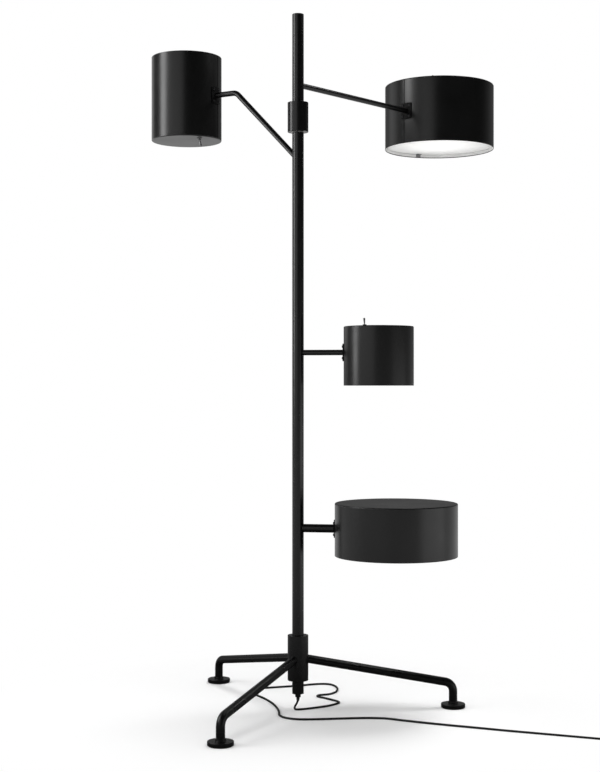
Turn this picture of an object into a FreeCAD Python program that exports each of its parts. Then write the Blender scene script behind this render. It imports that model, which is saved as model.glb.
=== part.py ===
import FreeCAD, Part
import math
import os
import re

import Sketcher
from FreeCAD import Placement, Rotation, Vector

# Tripod floor lamp with four black drum shades on arms. Millimetres, +Z up, origin on the floor
# under the pole's axis. The right-hand leg of the tripod runs along +X.

doc = FreeCAD.newDocument("tripod_floor_lamp")
sheet = doc.addObject("Spreadsheet::Sheet", "Sizes")

# Driving dimensions. A value written as text is a formula of the sheet.
sizes = {
    # fits
    "runningClearance": 0.05,
    "plateFit": 0.15,
    "washerPlay": 0.1,
    # pole, in two sections that meet inside the collar
    "poleDiameter": 33.4,
    "poleWall": 1.6,
    "poleBottom": 47,
    "poleJoint": 1700,
    "poleTop": 2000,
    "capThickness": 3,
    "capSpigot": 12,
    "washerThickness": 2,
    "washerBore": 16,
    "collarDiameter": 59.6,
    "collarDrop": 39,
    "collarBottom": "=poleJoint - collarDrop",
    "collarLength": 85,
    "bushWall": 2,
    "hubDiameter": 59.6,
    "hubBottom": 85.5,
    "hubLength": 129.5,
    "grubDiameter": 5,
    "grubSink": 0.6,
    "grubHeading": 60,
    "hubGrubRise": 104.5,
    "hubGrubHeight": "=hubBottom + hubGrubRise",
    "collarGrubDrop": 20,
    "collarGrubHeight": "=poleJoint - collarGrubDrop",
    "edgeRound": 0.8,
    # cable gland under the pole, and the supply lead inside it
    "glandDiameter": 16,
    "glandDrop": 13,
    "glandPlug": 12,
    "cordDiameter": 6,
    "leadDrop": 160,
    "leadTop": "=poleJoint - leadDrop",
    "blockWidth": 24,
    "blockDepth": 15,
    "blockHeight": 32,
    # legs and feet
    "legCount": 3,
    "legDiameter": 24.2,
    "legWall": 2,
    "legSpread": 450,
    "legRoot": 151.4,
    "legCorner": 70.9,
    "legBend": 28,
    "legSocket": 9,
    "footDiameter": 70,
    "footHeight": 12,
    "footBossDiameter": 29,
    "footBossHeight": 6,
    "footSocket": 8,
    "padDiameter": 64,
    "padThickness": 2,
    # arms
    "armDiameter": 16,
    "lowArmDiameter": 24,
    "armWall": 1.5,
    "armBend": 25,
    "tallArmDrop": 117,
    "tallArmRoot": "=poleJoint - tallArmDrop",
    "tallArmRise": 213,
    "tallArmCorner": 210,
    # shades: outside diameter, length, distance of the centre from the pole, heading about the
    # pole, height of the arm that carries it, and how far the lower rim hangs below that arm
    "tallDiameter": 210,
    "tallLength": 250,
    "tallReach": 387.5,
    "tallHeading": 146.5,
    "tallArm": "=tallArmRoot + tallArmRise",
    "tallHang": 128,
    "wideDiameter": 350,
    "wideLength": 203,
    "wideReach": 686,
    "wideHeading": 44.6,
    "wideArmDrop": 203,
    "wideArm": "=poleTop - wideArmDrop",
    "wideHang": 100,
    "smallDiameter": 200,
    "smallLength": 169,
    "smallReach": 232.6,
    "smallHeading": -11.6,
    "smallArm": 1027,
    "smallHang": 95,
    "lowDiameter": 350,
    "lowLength": 150,
    "lowReach": 282.7,
    "lowHeading": -12.1,
    "lowArm": 522.5,
    "lowHang": 75,
    "shadeWall": 1.2,
    "rimRound": 0.5,
    # closed end of a shade
    "plateRecess": 2,
    "plateThickness": 1.5,
    "plateLip": 10,
    # lampholder and bulb
    "holderDiameter": 40,
    "holderLength": 44,
    "holderBoreDepth": 25,
    "bulbCapDiameter": 26.4,
    "bulbCapLength": 24,
    "bulbDiameter": 60,
    "bulbLength": 105,
    "bulbPlay": 0.3,
    # diffuser at the open end, in three spring clips
    "diffuserThickness": 3,
    "diffuserRecess": 12,
    "diffuserGap": 1.8,
    "clipCount": 3,
    "clipWidth": 8,
    "clipThickness": 1,
    "clipLip": 7,
    "clipSeat": 0.2,
    # folded bracket between an arm and a shade
    "bracketHeight": 50,
    "bracketWidth": 40,
    "bracketThickness": 2,
    "bracketFlat": 10,
    "bracketStandoff": 1.6,
    "bracketSeat": 0.05,
    "wireHole": 10,
    "screwColumnSpacing": 24,
    "screwRowSpacing": 33,
    "screwDiameter": 4,
    "screwClearance": 0.1,
    "screwHeadDiameter": 8,
    "screwHeadHeight": 2.6,
    "screwLength": 9,
    # toggle switch in the closed end
    "switchWidth": 19,
    "switchDepth": 13,
    "switchHeight": 16,
    "switchBush": 11.5,
    "switchBushDrop": 9,
    "switchBore": 6.4,
    "nutWidth": 15,
    "nutThickness": 2.5,
    "leverLength": 20,
    "leverNeck": 3,
    "leverTip": 6.4,
    "leverBall": 5,
    "leverPivot": 1.5,
    "leverTilt": 12,
    "switchOffset": 42,
    "tallSwitchOffset": 70.6,
    "wideSwitchOffset": 70.6,
    "switchTurn": 157.4,
    # free cord, and the unseen end of it: a coil and its plug
    "floorClearance": 0.1,
    "coilDiameter": 66,
    "coilSection": 18,
    "plugLength": 38,
    "plugWidth": 24,
    "plugHeight": 14,
    "pinDiameter": 4,
    "pinLength": 19,
    "pinSpacing": 18,
    "plugStandoff": 36,
}

for row, (alias, value) in enumerate(sizes.items(), start=1):
    sheet.set(f"A{row}", alias)
    sheet.set(f"B{row}", str(value))
    sheet.setAlias(f"B{row}", alias)
doc.recompute()

shadeNames = ("tall", "wide", "small", "low")
switchedShades = ("tall", "wide", "small")
upLight = "tall"

# The cord's way down from the gland (x, y, share of the gland's height), and then over the floor
# to the coil (x, y), by eye.
dropRoute = [(0, 0, 1), (0, 0, 0.76), (-4, 1, 0.5), (-9, 3, 0.26)]
floorRoute = [
    (-10.5, -5), (-2, -10.5), (8.5, -8.5), (24, -3.5), (43, 5.5), (64.1, 15.5), (87.5, 28),
    (105.6, 43.5), (119, 58), (127, 73), (122, 88), (110, 103.5), (97.5, 120), (85.5, 136),
    (75, 145), (67.5, 154), (67.5, 165), (76, 173), (89, 177), (104, 181), (118, 195),
    (129.8, 216), (138, 252), (136.2, 288), (128, 311), (118, 324), (102, 330), (84, 329.5),
    (64.3, 324.5), (39.5, 315), (13, 306), (-20.9, 298), (-49, 290.5), (-80, 284), (-107, 276),
    (-125, 259), (-131.5, 235), (-126, 208), (-110, 177), (-93.5, 143), (-81.5, 110), (-71, 76),
    (-64.5, 43), (-59.5, 11), (-57, -19), (-56.5, -47), (-58.5, -74), (-49.5, -101.5),
    (-20.9, -126.5), (18.4, -131.8), (68.6, -130), (119.5, -126.5), (169.6, -124),
    (219.4, -128.5), (249, -138.5), (277, -157), (336.6, -190), (405.4, -225), (481.9, -261),
    (545, -292.5), (618, -325.5), (696, -360.5), (766, -392.5), (806, -409.5), (835, -421),
]
coilCentre = (823.0, -452.0)
plugHeading = -60


# Reading and binding sizes.
def size(alias):
    """A value from the sheet."""
    return float(sheet.get(alias))


def formula(text):
    """The same text with each alias written as a cell of the sheet."""
    return re.sub(r"\b[a-z][A-Za-z]+\b(?!\()", lambda found: "Sizes." + found.group(), text)


def bind(thing, **properties):
    """Ties properties of a document object to formulas of the sheet."""
    for name, text in properties.items():
        thing.setExpression(name, formula(text))
    return thing


def heading(degrees):
    """Turn about the pole's axis."""
    return Placement(Vector(), Rotation(Vector(0, 0, 1), degrees))


def move(x=0.0, y=0.0, z=0.0):
    return Placement(Vector(x, y, z), Rotation())


def turn(axis, degrees):
    return Placement(Vector(), Rotation(axis, degrees))


xAxis = Vector(1, 0, 0)
yAxis = Vector(0, 1, 0)
zAxis = Vector(0, 0, 1)

# Building blocks.
subParts = []


def keep(thing, node, place=None):
    """Marks an object as a sub-part: its label is the node's name."""
    thing.Label = node
    if place is not None:
        thing.Placement = place
    subParts.append(thing)
    return thing


def primitive(kind, place=None, **properties):
    """A Part primitive tied to the sheet."""
    thing = bind(doc.addObject(kind, kind.split("::")[1]), **properties)
    if place is not None:
        thing.Placement = place
    return thing


def rod(radius, height, place=None):
    return primitive("Part::Cylinder", place, Radius=radius, Height=height)


def block(length, width, height, place=None):
    return primitive("Part::Box", place, Length=length, Width=width, Height=height)


def joined(*things):
    whole = doc.addObject("Part::MultiFuse", "Joined")
    whole.Shapes = list(things)
    return whole


def without(whole, *tools):
    """The first object less the others."""
    cut = doc.addObject("Part::Cut", "Cut")
    cut.Base = whole
    cut.Tool = tools[0] if len(tools) == 1 else joined(*tools)
    return cut


def group(*things):
    """Separate solids that share one node."""
    together = doc.addObject("Part::Compound", "Group")
    together.Links = list(things)
    return together


def ring(outer, length, inner=None, rounded=None):
    """A body padded from one or two circles about Z, with its outer edges rounded."""
    body = doc.addObject("PartDesign::Body", "Ring")
    sketch = body.newObject("Sketcher::SketchObject", "Section")
    planes = {plane.Role: plane for plane in body.Origin.OriginFeatures}
    sketch.AttachmentSupport = [(planes["XY_Plane"], "")]
    sketch.MapMode = "FlatFace"
    for index, radius in enumerate(text for text in (outer, inner) if text):
        start = 20.0 / (index + 1)
        sketch.addGeometry(Part.Circle(Vector(), zAxis, start))
        sketch.addConstraint(Sketcher.Constraint("Coincident", index, 3, -1, 1))
        cell = sketch.addConstraint(Sketcher.Constraint("Radius", index, start))
        sketch.setExpression(f"Constraints[{cell}]", formula(radius))
    pad = body.newObject("PartDesign::Pad", "Pad")
    pad.Profile = sketch
    bind(pad, Length=length)
    if rounded:
        doc.recompute()
        widest = max(edge.Curve.Radius for edge in pad.Shape.Edges if isCircle(edge))
        outerEdges = [
            f"Edge{number}"
            for number, edge in enumerate(pad.Shape.Edges, start=1)
            if isCircle(edge) and abs(edge.Curve.Radius - widest) < 1e-6
        ]
        fillet = body.newObject("PartDesign::Fillet", "Rounding")
        fillet.Base = (pad, outerEdges)
        bind(fillet, Radius=rounded)
    return body


def isCircle(edge):
    return isinstance(edge.Curve, Part.Circle)


def roundedPath(points, radii):
    """Straight runs through the points, joined by tangent arcs of the given radii."""
    edges = []
    start = points[0]
    for before, corner, after, radius in zip(points, points[1:], points[2:], radii):
        inward = (before - corner).normalize()
        outward = (after - corner).normalize()
        half = inward.getAngle(outward) / 2
        setback = radius / math.tan(half)
        first = corner + inward * setback
        last = corner + outward * setback
        middle = corner + (inward + outward).normalize() * (radius / math.sin(half) - radius)
        edges.append(Part.LineSegment(start, first).toShape())
        edges.append(Part.Arc(first, middle, last).toShape())
        start = last
    edges.append(Part.LineSegment(start, points[-1]).toShape())
    return Part.Wire(edges)


def sweptRod(path, radius):
    """A round bar swept along a path."""
    first = path.Edges[0]
    direction = first.tangentAt(first.FirstParameter)
    section = Part.Wire(Part.makeCircle(radius, first.Vertexes[0].Point, direction))
    return path.makePipeShell([section], True, False)


def bentTube(points, diameter, wall, bend):
    """A round tube bent through the points."""
    path = roundedPath(points, [bend] * (len(points) - 2))
    tube = doc.addObject("Part::Feature", "BentTube")
    outside = sweptRod(path, diameter / 2)
    tube.Shape = outside.cut(sweptRod(path, diameter / 2 - wall)) if wall else outside
    return tube


# Base.
legSteps = [360.0 / size("legCount") * number for number in range(int(size("legCount")))]
legNodes = ("leg_right", "leg_back", "leg_front")
legSlope = math.degrees(math.atan2(size("legRoot") - size("legCorner"), size("legSpread")))
boreRadius = "poleDiameter / 2 + runningClearance"


def grubRadius(bodyDiameter):
    """Length of a set screw from the pole to just under the outside of a collar."""
    return f"({bodyDiameter} - poleDiameter) / 2 - runningClearance - grubSink"


def grubPlace(height, headingText):
    start = size("poleDiameter") / 2 + size("runningClearance")
    return heading(headingText) * move(start, 0, height) * turn(yAxis, 90)


def grubHoles(bodyDiameter, heights):
    return [
        rod("grubDiameter / 2", f"{bodyDiameter} / 2", grubPlace(size(height), size("grubHeading")))
        for height in heights
    ]


def makeHub():
    hub = ring("hubDiameter / 2", "hubLength", boreRadius, "edgeRound")
    hub.Placement = move(z=size("hubBottom"))
    socketStart = size("hubDiameter") / 2 - size("legSocket")
    sockets = [
        rod(
            "legDiameter / 2 + runningClearance",
            "hubDiameter",
            heading(step) * move(z=size("legRoot")) * turn(yAxis, 90 + legSlope) * move(z=socketStart),
        )
        for step in legSteps
    ]
    keep(without(hub, *sockets, *grubHoles("hubDiameter", ["hubGrubHeight"])), "hub")
    screw = rod("grubDiameter / 2", grubRadius("hubDiameter"))
    keep(screw, "hub_set_screw", grubPlace(size("hubGrubHeight"), size("grubHeading")))


def makeLegs():
    slope = math.radians(legSlope)
    start = size("hubDiameter") / 2 - size("legSocket")
    points = [
        Vector(start * math.cos(slope), 0, size("legRoot") - start * math.sin(slope)),
        Vector(size("legSpread"), 0, size("legCorner")),
        Vector(size("legSpread"), 0, size("footHeight") + size("footBossHeight") - size("footSocket")),
    ]
    for node, step in zip(legNodes, legSteps):
        tube = bentTube(points, size("legDiameter"), size("legWall"), size("legBend"))
        keep(tube, node, heading(step))


def makeFeet():
    discs = []
    pads = []
    for step in legSteps:
        place = heading(step) * move(size("legSpread"))
        disc = ring("footDiameter / 2", "footHeight - padThickness", rounded="edgeRound")
        disc.Placement = move(z=size("padThickness"))
        boss = rod("footBossDiameter / 2", "footBossHeight", move(z=size("footHeight")))
        socket = rod(
            "legDiameter / 2 + runningClearance",
            "footSocket",
            move(z=size("footHeight") + size("footBossHeight") - size("footSocket")),
        )
        foot = without(joined(disc, boss), socket)
        foot.Placement = place
        discs.append(foot)
        pad = rod("padDiameter / 2", "padThickness", place)
        pads.append(pad)
    keep(group(*discs), "foot_discs")
    keep(group(*pads), "foot_pads")


# Pole.
def armHole(diameter, place):
    """Bar that opens the pole's wall for an arm."""
    return rod(f"{diameter} / 2 + runningClearance", "poleDiameter", place)


def towards(name):
    """Placement with +X along a shade's arm."""
    return heading(size(f"{name}Heading"))


def makePole():
    level = turn(yAxis, 90)
    lean = math.degrees(math.atan2(size("tallArmCorner"), size("tallArmRise")))
    lower = ring("poleDiameter / 2", "poleJoint - poleBottom", "poleDiameter / 2 - poleWall")
    lower.Placement = move(z=size("poleBottom"))
    openings = [
        armHole("armDiameter", towards("tall") * move(z=size("tallArmRoot")) * turn(yAxis, lean)),
        armHole("armDiameter", towards("small") * move(z=size("smallArm")) * level),
        armHole("lowArmDiameter", towards("low") * move(z=size("lowArm")) * level),
    ]
    keep(without(lower, *openings), "lower_pole")

    washer = ring("poleDiameter / 2", "washerThickness", "washerBore / 2")
    keep(washer, "thrust_washer", move(z=size("poleJoint")))

    foot = size("poleJoint") + size("washerThickness") + size("washerPlay")
    upper = ring(
        "poleDiameter / 2",
        "poleTop - capThickness - poleJoint - washerThickness - washerPlay",
        "poleDiameter / 2 - poleWall",
    )
    upper.Placement = move(z=foot)
    opening = armHole("armDiameter", towards("wide") * move(z=size("wideArm")) * level)
    keep(without(upper, opening), "upper_pole")

    disc = ring("poleDiameter / 2", "capThickness", rounded="edgeRound")
    disc.Placement = move(z=size("poleTop") - size("capThickness"))
    spigot = rod(
        "poleDiameter / 2 - poleWall - runningClearance",
        "capSpigot",
        move(z=size("poleTop") - size("capThickness") - size("capSpigot")),
    )
    keep(joined(disc, spigot), "pole_cap")


def makeCollar():
    holes = grubHoles("collarDiameter", ["collarGrubHeight"])
    collar = ring("collarDiameter / 2", "collarLength", f"{boreRadius} + bushWall", "edgeRound")
    collar.Placement = move(z=size("collarBottom"))
    keep(without(collar, *holes), "collar")
    bush = ring(f"{boreRadius} + bushWall", "collarLength", boreRadius)
    bush.Placement = move(z=size("collarBottom"))
    keep(without(bush, *grubHoles("collarDiameter", ["collarGrubHeight"])), "collar_bush")
    screw = rod("grubDiameter / 2", grubRadius("collarDiameter"))
    keep(screw, "collar_set_screw", grubPlace(size("collarGrubHeight"), size("grubHeading")))


def makeSupply():
    """Cable gland in the pole's foot, the supply lead up the pole and its terminal block."""
    drop = size("poleBottom") - size("glandDrop")
    nipple = rod("glandDiameter / 2", "glandDrop", move(z=drop))
    flange = rod("poleDiameter / 2", "poleWall", move(z=size("poleBottom") - size("poleWall")))
    plug = rod("poleDiameter / 2 - poleWall - runningClearance", "glandPlug",
               move(z=size("poleBottom")))
    bore = rod("cordDiameter / 2 + runningClearance", "glandDrop + glandPlug", move(z=drop))
    keep(without(joined(nipple, flange, plug), bore), "cable_gland")

    lead = rod("cordDiameter / 2", "leadTop - poleBottom + glandDrop")
    keep(lead, "supply_lead", move(z=drop))

    terminal = block("blockWidth", "blockDepth", "blockHeight")
    middle = move(-size("blockWidth") / 2, -size("blockDepth") / 2, size("leadTop"))
    keep(terminal, "terminal_block", middle)


# Arms.
def armEnd(name):
    """Distance from the pole's axis to the outer face of a shade's bracket."""
    stand = size("bracketStandoff") + size("bracketThickness")
    return size(f"{name}Reach") - size(f"{name}Diameter") / 2 - stand


def armStart():
    return size("poleDiameter") / 2 - 2 * size("poleWall")


def makeArms():
    for name in ("wide", "small", "low"):
        diameter = "lowArmDiameter" if name == "low" else "armDiameter"
        tube = without(
            rod(f"{diameter} / 2", str(armEnd(name) - armStart())),
            rod(f"{diameter} / 2 - armWall", str(armEnd(name) - armStart())),
        )
        place = towards(name) * move(armStart(), 0, size(f"{name}Arm")) * turn(yAxis, 90)
        keep(tube, f"arm_{name}", place)
    corner = size("tallArmCorner")
    start = size("tallArmRoot") + size("tallArmRise") * armStart() / corner
    points = [
        Vector(armStart(), 0, start),
        Vector(corner, 0, size("tallArm")),
        Vector(armEnd("tall"), 0, size("tallArm")),
    ]
    tube = bentTube(points, size("armDiameter"), size("armWall"), size("armBend"))
    keep(tube, "arm_tall", towards("tall"))


# Shades. Each is built from its closed end: local z runs from there into the shade, and local x
# runs away from the pole.
def closedEnd(name):
    rim = size(f"{name}Arm") - size(f"{name}Hang")
    place = towards(name) * move(size(f"{name}Reach"), 0, rim)
    if name == upLight:
        return place
    return place * move(z=size(f"{name}Length")) * turn(xAxis, 180)


def armLevel(name):
    """Local height of the arm's axis over the closed end."""
    hang = size(f"{name}Hang")
    return hang if name == upLight else size(f"{name}Length") - hang


def bracketOutline(name):
    """Inner face of half a folded bracket: the flat, then the wing's tip on the shade."""
    radius = size(f"{name}Diameter") / 2
    half = size("bracketWidth") / 2
    fold = Vector(-(radius + size("bracketStandoff")), size("bracketFlat") / 2, 0)
    tip = Vector(-math.sqrt(radius**2 - half**2) - size("bracketSeat"), half, 0)
    return fold, tip


def screwPlaces(name):
    """Where the four bracket screws stand: z points out of the shade, square to a wing."""
    fold, tip = bracketOutline(name)
    slope = math.degrees(math.atan2(tip.x - fold.x, tip.y - fold.y))
    share = (size("screwColumnSpacing") / 2 - fold.y) / (tip.y - fold.y)
    seat = fold + (tip - fold) * share
    places = []
    for side in (1, -1):
        for level in (1, -1):
            outward = turn(zAxis, -side * slope) * turn(yAxis, -90)
            spot = move(seat.x, side * seat.y, armLevel(name) + level * size("screwRowSpacing") / 2)
            places.append(spot * outward)
    return places


def screwHoles(name):
    reach = size("screwLength")
    holes = [
        rod("screwDiameter / 2 + screwClearance", "2 * screwLength", place * move(z=-reach))
        for place in screwPlaces(name)
    ]
    wires = move(-size(f"{name}Diameter"), 0, armLevel(name)) * turn(yAxis, 90)
    holes.append(rod("wireHole / 2", f"{name}Diameter", wires))
    return holes


def makeShell(name):
    wall = f"{name}Diameter / 2 - shadeWall"
    tube = ring(f"{name}Diameter / 2", f"{name}Length", wall, "rimRound")
    keep(without(tube, *screwHoles(name)), f"shell_{name}", closedEnd(name))


def makeBracket(name):
    fold, tip = bracketOutline(name)
    wing = tip - fold
    outward = Vector(-wing.y, wing.x, 0).normalize() * size("bracketThickness")
    flatBack = fold + Vector(-size("bracketThickness"), 0, 0)
    share = (outward.x + size("bracketThickness")) / wing.x
    outerFold = fold + outward - wing * share
    upper = [flatBack + Vector(0, outerFold.y - fold.y, 0), tip + outward, tip, fold]
    lower = [Vector(point.x, -point.y, 0) for point in reversed(upper)]
    outline = Part.makePolygon(upper + lower + upper[:1])
    plate = doc.addObject("Part::Feature", "FoldedPlate")
    plate.Shape = Part.Face(outline).extrude(Vector(0, 0, size("bracketHeight")))
    plate.Placement = move(z=armLevel(name) - size("bracketHeight") / 2)
    keep(without(plate, *screwHoles(name)), f"bracket_{name}", closedEnd(name))


def bracketScrews(name):
    """Four button-head screws through a bracket and its shade."""
    screws = []
    for place in screwPlaces(name):
        head = ring("screwHeadDiameter / 2", "screwHeadHeight", rounded="screwHeadHeight * 0.45")
        head.Placement = move(z=size("bracketThickness"))
        shank = rod(
            "screwDiameter / 2",
            "screwLength",
            move(z=size("bracketThickness") - size("screwLength")),
        )
        screw = joined(head, shank)
        screw.Placement = closedEnd(name) * place
        screws.append(screw)
    return screws


def switchPlace(name):
    """The toggle switch's axis in the closed end."""
    offset = size(f"{name}SwitchOffset") if name in ("tall", "wide") else size("switchOffset")
    return turn(zAxis, size("switchTurn")) * move(offset)


def makeEndPlate(name):
    radius = f"{name}Diameter / 2 - shadeWall - plateFit"
    disc = rod(radius, "plateLip")
    hollow = rod(f"{radius} - plateThickness", "plateLip", move(z=size("plateThickness")))
    tools = [hollow]
    if name in switchedShades:
        hole = rod("switchBush / 2 + runningClearance", "plateLip", switchPlace(name))
        tools.append(hole)
    place = closedEnd(name) * move(z=size("plateRecess"))
    keep(without(disc, *tools), f"end_plate_{name}", place)


def plateInside():
    """Height of the closed end's inner face."""
    return size("plateRecess") + size("plateThickness")


def makeLamp(name):
    """Lampholder on the end plate, and the bulb in it."""
    body = ring("holderDiameter / 2", "holderLength", rounded="edgeRound")
    bore = rod(
        "bulbCapDiameter / 2 + bulbPlay",
        "holderBoreDepth",
        move(z=size("holderLength") - size("holderBoreDepth")),
    )
    keep(without(body, bore), f"lampholder_{name}", closedEnd(name) * move(z=plateInside()))

    cap = rod("bulbCapDiameter / 2", "bulbCapLength")
    neck = primitive(
        "Part::Cone",
        move(z=size("bulbCapLength")),
        Radius1="bulbCapDiameter / 2",
        Radius2="bulbDiameter * 0.43",
        Height="bulbLength - bulbCapLength - bulbDiameter * 0.75",
    )
    globe = primitive(
        "Part::Sphere", move(z=size("bulbLength") - size("bulbDiameter") / 2), Radius="bulbDiameter / 2"
    )
    seat = plateInside() + size("holderLength") - size("holderBoreDepth")
    keep(joined(cap, neck, globe), f"bulb_{name}", closedEnd(name) * move(z=seat))


def makeDiffuser(name):
    radius = f"{name}Diameter / 2 - shadeWall - diffuserGap"
    height = size(f"{name}Length") - size("diffuserRecess") - size("diffuserThickness")
    disc = ring(radius, "diffuserThickness")
    keep(disc, f"diffuser_{name}", closedEnd(name) * move(z=height))


def diffuserClips(name):
    """Spring clips on the shade's inner wall that hold the diffuser by its edge."""
    clips = []
    wall = size(f"{name}Diameter") / 2 - size("shadeWall") - size("clipSeat")
    outerFace = size(f"{name}Length") - size("diffuserRecess")
    reach = size("clipLip") + size("clipThickness")
    for number in range(int(size("clipCount"))):
        leg = block(
            "clipThickness",
            "clipWidth",
            "diffuserThickness + 2 * clipThickness",
            move(wall - size("clipThickness"), -size("clipWidth") / 2,
                 outerFace - size("diffuserThickness") - size("clipThickness")),
        )
        lips = [
            block("clipLip + clipThickness", "clipWidth", "clipThickness",
                  move(wall - reach, -size("clipWidth") / 2, level))
            for level in (outerFace, outerFace - size("diffuserThickness") - size("clipThickness"))
        ]
        clip = joined(leg, *lips)
        step = 360.0 / size("clipCount") * number
        clip.Placement = closedEnd(name) * turn(zAxis, 180 + step)
        clips.append(clip)
    return clips


def makeSwitch(name):
    """Toggle switch body behind the end plate and its lever, leaning off its axis."""
    axis = closedEnd(name) * switchPlace(name) * move(z=plateInside())
    case = block(
        "switchWidth", "switchDepth", "switchHeight",
        move(-size("switchWidth") / 2, -size("switchDepth") / 2),
    )
    bush = rod("switchBush / 2", "switchBushDrop", move(z=-size("switchBushDrop")))
    pocket = rod("switchBore / 2", "2 * switchBushDrop", move(z=-size("switchBushDrop")))
    keep(without(joined(case, bush), pocket), f"switch_{name}", axis)

    pivot = axis * move(z=-size("switchBushDrop") + leverDepth())
    lever = joined(
        primitive("Part::Sphere", None, Radius="leverBall / 2"),
        primitive(
            "Part::Cone", None, Radius1="leverNeck / 2", Radius2="leverTip / 2", Height="leverLength"
        ),
        primitive("Part::Sphere", move(z=size("leverLength")), Radius="leverTip / 2"),
    )
    lean = turn(xAxis, 180) * turn(xAxis, size("leverTilt"))
    keep(lever, f"switch_lever_{name}", pivot * lean)


def leverDepth():
    """How far the lever's pivot lies inside the mouth of the switch's bush."""
    return size("switchBushDrop") - size("plateThickness") - size("plateRecess") - size("leverPivot")


def switchNut(name):
    nut = primitive("Part::Prism", None, Circumradius="nutWidth / sqrt(3)", Height="nutThickness")
    nut.Polygon = 6
    hole = rod("switchBush / 2 + runningClearance", "nutThickness")
    cut = without(nut, hole)
    cut.Placement = closedEnd(name) * switchPlace(name) * move(
        z=size("plateRecess") - size("nutThickness")
    )
    return cut


def makeShades():
    for name in shadeNames:
        makeShell(name)
        makeEndPlate(name)
        makeBracket(name)
        makeLamp(name)
        makeDiffuser(name)
    for name in switchedShades:
        makeSwitch(name)
    fixed = ("tall", "small", "low")
    keep(group(*[screw for name in fixed for screw in bracketScrews(name)]), "bracket_screws_lower")
    keep(group(*bracketScrews("wide")), "bracket_screws_upper")
    keep(group(*[clip for name in fixed for clip in diffuserClips(name)]), "diffuser_clips_lower")
    keep(group(*diffuserClips("wide")), "diffuser_clips_upper")
    keep(group(switchNut("tall"), switchNut("small")), "switch_nuts_lower")
    keep(switchNut("wide"), "switch_nut_upper")


# Cord.
def makeCord():
    """The free cord on the floor, the coil of the length out of sight, and the plug."""
    radius = size("cordDiameter") / 2
    rest = radius + size("floorClearance")
    mouth = size("poleBottom") - size("glandDrop")
    points = [Vector(x, y, mouth * share) for x, y, share in dropRoute]
    points += [Vector(x, y, rest) for x, y in floorRoute]
    radii = []
    for before, corner, after in zip(points, points[1:], points[2:]):
        run = min((corner - before).Length, (after - corner).Length)
        half = (corner - before).getAngle(after - corner) / 2
        radii.append(0.45 * run / math.tan(half))
    path = roundedPath(points, radii)
    cord = doc.addObject("Part::Feature", "CordRun")
    cord.Shape = sweptRod(path, radius)
    keep(cord, "cord_run")
    print("cord radii", " ".join(f"{value:.0f}" for value in radii))
    print(f"cord length {path.Length:.0f}, volume {cord.Shape.Volume:.0f},",
          f"section x length {math.pi * radius**2 * path.Length:.0f}")

    coil = primitive(
        "Part::Torus", None, Radius1="coilDiameter / 2", Radius2="coilSection / 2"
    )
    keep(coil, "cord_coil", move(*coilCentre, size("coilSection") / 2))

    body = block("plugLength", "plugWidth", "plugHeight", move(0, -size("plugWidth") / 2))
    pins = [
        rod(
            "pinDiameter / 2", "pinLength",
            move(size("plugLength"), side * size("pinSpacing") / 2, size("plugHeight") / 2)
            * turn(yAxis, 90),
        )
        for side in (-1, 1)
    ]
    back = move(size("plugStandoff"), size("coilDiameter") / 2)
    keep(joined(body, *pins), "plug", move(*coilCentre) * heading(plugHeading) * back)


# Build, test and write.
makeHub()
makeLegs()
makeFeet()
makePole()
makeCollar()
makeSupply()
makeArms()
makeShades()
makeCord()
doc.recompute()

for thing in doc.Objects:
    if {"Invalid", "Error"} & set(thing.State):
        raise RuntimeError(f"{thing.Label} did not build: {thing.State}")
for piece in subParts:
    if piece.Shape.isNull() or not piece.Shape.isValid():
        raise RuntimeError(f"{piece.Label} has no valid solid")

os.makedirs("parts", exist_ok=True)
for piece in subParts:
    piece.Shape.exportStep(f"parts/{piece.Label}.step")
    print(f"{piece.Label}: {len(piece.Shape.Solids)} solid(s), {piece.Shape.Volume:.0f} mm3")
print(len(subParts), "sub-parts")
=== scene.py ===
import math

import bpy
from mathutils import Matrix, Vector


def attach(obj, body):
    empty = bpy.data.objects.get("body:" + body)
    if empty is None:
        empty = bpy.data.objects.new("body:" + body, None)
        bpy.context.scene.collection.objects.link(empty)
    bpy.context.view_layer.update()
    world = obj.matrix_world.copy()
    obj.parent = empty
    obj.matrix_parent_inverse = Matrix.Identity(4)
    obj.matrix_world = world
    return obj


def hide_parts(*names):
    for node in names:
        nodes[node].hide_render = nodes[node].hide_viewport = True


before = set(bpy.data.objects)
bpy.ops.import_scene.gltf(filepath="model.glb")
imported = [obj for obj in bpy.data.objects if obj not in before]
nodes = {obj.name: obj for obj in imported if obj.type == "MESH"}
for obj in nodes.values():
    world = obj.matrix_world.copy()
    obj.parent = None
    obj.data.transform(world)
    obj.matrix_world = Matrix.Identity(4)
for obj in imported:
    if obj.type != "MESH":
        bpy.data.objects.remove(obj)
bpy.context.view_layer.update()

print("frame loaded:", len(nodes), "nodes")

# a turned piece closes on this small radius instead of a point on its axis
core = 0.0002


def addObject(name, data):
    thing = bpy.data.objects.new(name, data)
    bpy.context.scene.collection.objects.link(thing)
    return thing


def addMesh(name, points, faces, smooth=True):
    mesh = bpy.data.meshes.new(name)
    mesh.from_pydata([tuple(point) for point in points], [], faces)
    mesh.update()
    if smooth:
        mesh.shade_smooth()
        mesh.set_sharp_from_angle(angle=math.radians(50))
    return addObject(name, mesh)


def moved(x=0.0, y=0.0, z=0.0):
    return Matrix.Translation((x, y, z))


def spun(axis, degrees):
    return Matrix.Rotation(math.radians(degrees), 4, axis)


def arc(centre, radius, start, end, steps):
    # points of an arc in (radius, height), angles in degrees
    angles = [math.radians(start + (end - start) * step / steps) for step in range(steps + 1)]
    return [(centre[0] + radius * math.cos(angle), centre[1] + radius * math.sin(angle))
            for angle in angles]


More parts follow.
